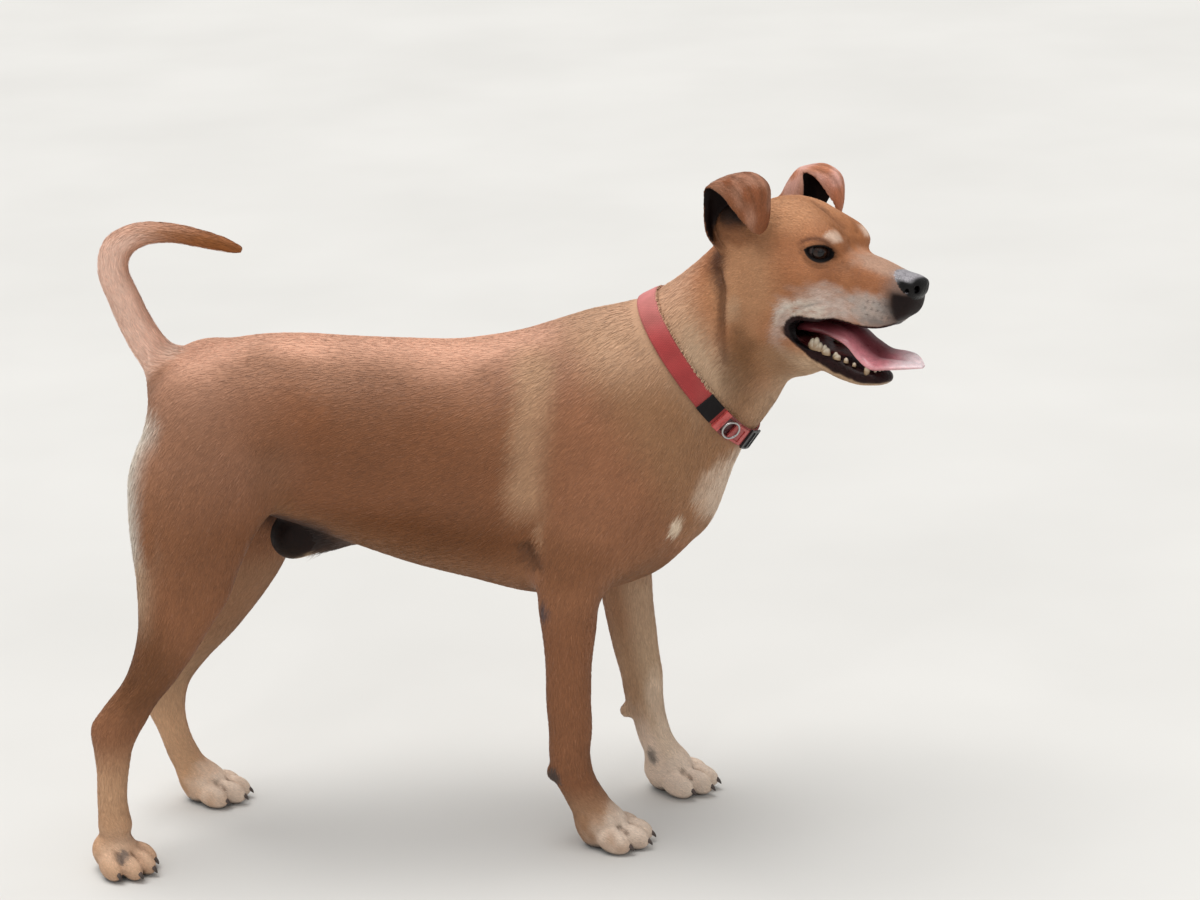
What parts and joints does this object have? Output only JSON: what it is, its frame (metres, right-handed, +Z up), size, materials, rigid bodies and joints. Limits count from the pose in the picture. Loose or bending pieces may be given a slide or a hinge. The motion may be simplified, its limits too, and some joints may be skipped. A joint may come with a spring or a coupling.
{
  "type": "dog",
  "caption": "Life-size still model of a standing short-coated fawn dog, head turned aside, mouth open with tongue out, tail curled up, wearing a red collar.",
  "frame": {"origin": "middle of the part's box in plan, on the floor under the paws", "axes": "+X towards the chest, +Y to the dog's left, +Z up"},
  "size_m": [0.9084, 0.2852, 0.7495],
  "materials": {
    "coat": "short dense fawn coat, paler on the chest, muzzle and toes",
    "nose_leather": "black pebbled nose, slightly moist",
    "tongue": "pink, moist",
    "eye": "dark brown glossy eye",
    "claw": "dark horn, satin",
    "collar_webbing": "red woven webbing",
    "collar_black": "black woven label and slider, bare",
    "collar_buckle": "red moulded side-release buckle",
    "collar_ring": "plain steel ring"
  },
  "bodies": {
    "root": {"collar_buckle": "collar_buckle", "collar_buckle_catch": "collar_buckle", "collar_label": "collar_black", "collar_ring": "collar_ring", "collar_slider": "collar_black", "collar_strap": "collar_webbing", "ear_left": "coat", "ear_right": "coat", "eye_left": "eye", "eye_right": "eye", "fore_left_claw_1": "claw", "fore_left_claw_2": "claw", "fore_left_claw_3": "claw", "fore_left_claw_4": "claw", "fore_left_forearm": "coat", "fore_left_pastern": "coat", "fore_left_paw": "coat", "fore_right_claw_1": "claw", "fore_right_claw_2": "claw", "fore_right_claw_3": "claw", "fore_right_claw_4": "claw", "fore_right_forearm": "coat", "fore_right_pastern": "coat", "fore_right_paw": "coat", "head": "coat", "hind_left_claw_1": "claw", "hind_left_claw_2": "claw", "hind_left_claw_3": "claw", "hind_left_claw_4": "claw", "hind_left_pastern": "coat", "hind_left_paw": "coat", "hind_left_shank": "coat", "hind_left_thigh": "coat", "hind_right_claw_1": "claw", "hind_right_claw_2": "claw", "hind_right_claw_3": "claw", "hind_right_claw_4": "claw", "hind_right_pastern": "coat", "hind_right_paw": "coat", "hind_right_shank": "coat", "hind_right_thigh": "coat", "lower_jaw": "coat", "neck": "coat", "nose": "nose_leather", "tail_middle": "coat", "tail_root": "coat", "tail_tip": "coat", "tongue": "tongue", "trunk": "coat"}
  },
  "joints": []
}
